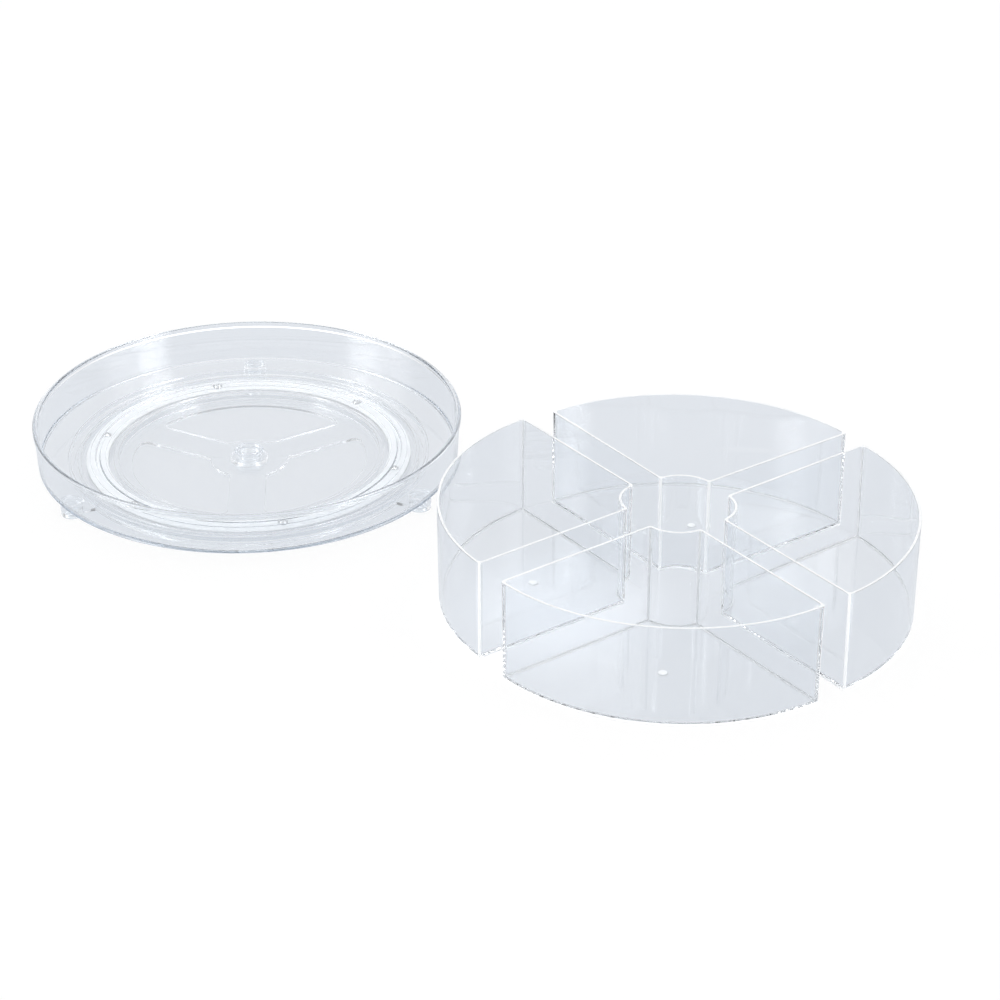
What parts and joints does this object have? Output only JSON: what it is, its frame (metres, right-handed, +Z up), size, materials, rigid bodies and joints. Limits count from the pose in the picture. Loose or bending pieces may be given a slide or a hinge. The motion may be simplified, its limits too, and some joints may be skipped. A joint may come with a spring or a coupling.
{
  "type": "turntable bin organizer",
  "caption": "Clear round turntable tray on a ball-bearing base, with removable quarter-circle bins standing beside it in a loose ring.",
  "frame": {"origin": "middle of the whole layout's box, seen from above, on the surface that everything stands on", "axes": "+Z up; +X along the layout's long side, from the turntable towards the bins; the picture was taken looking along +Y and down"},
  "size_m": [0.5976, 0.4957, 0.0708],
  "materials": {
    "clear_tray": "clear, polished moulding",
    "clear_base": "clear, polished moulding",
    "clear_bin": "clear, polished moulding",
    "white_cage": "satin white moulding",
    "bearing_steel": "polished steel",
    "soft_pad": "clear, soft"
  },
  "bodies": {
    "base": {"base": "clear_base", "foot_pad_1": "soft_pad", "foot_pad_2": "soft_pad", "foot_pad_3": "soft_pad"},
    "tray": {"tray": "clear_tray", "pivot_rivet": "clear_base"},
    "cage": {"ball_cage": "white_cage", "ball_1": "bearing_steel", "ball_2": "bearing_steel", "ball_3": "bearing_steel", "ball_4": "bearing_steel", "ball_5": "bearing_steel", "ball_6": "bearing_steel"},
    "bin_right": {"bin_right": "clear_bin"},
    "bin_back": {"bin_back": "clear_bin"},
    "bin_left": {"bin_left": "clear_bin"},
    "bin_front": {"bin_front": "clear_bin"}
  },
  "joints": [
    {"name": "tray_turn", "type": "hinge", "parent": "base", "child": "tray", "pos_m": [-0.14877, 0.09785, 0.00749], "axis": [0, 0, 1], "continuous": true},
    {"name": "cage_turn", "type": "hinge", "parent": "base", "child": "cage", "pos_m": [-0.14877, 0.09785, 0.00749], "axis": [0, 0, 1], "continuous": true},
    {"name": "bin_right_lift", "type": "slide", "parent": "base", "child": "bin_right", "axis": [0, 0, 1], "range_m": [0, 0.12]},
    {"name": "bin_back_lift", "type": "slide", "parent": "base", "child": "bin_back", "axis": [0, 0, 1], "range_m": [0, 0.12]},
    {"name": "bin_left_lift", "type": "slide", "parent": "base", "child": "bin_left", "axis": [0, 0, 1], "range_m": [0, 0.12]},
    {"name": "bin_front_lift", "type": "slide", "parent": "base", "child": "bin_front", "axis": [0, 0, 1], "range_m": [0, 0.12]}
  ],
  "couplings": [
    {"joint": "cage_turn", "follows": "tray_turn", "ratio": 0.5}
  ]
}
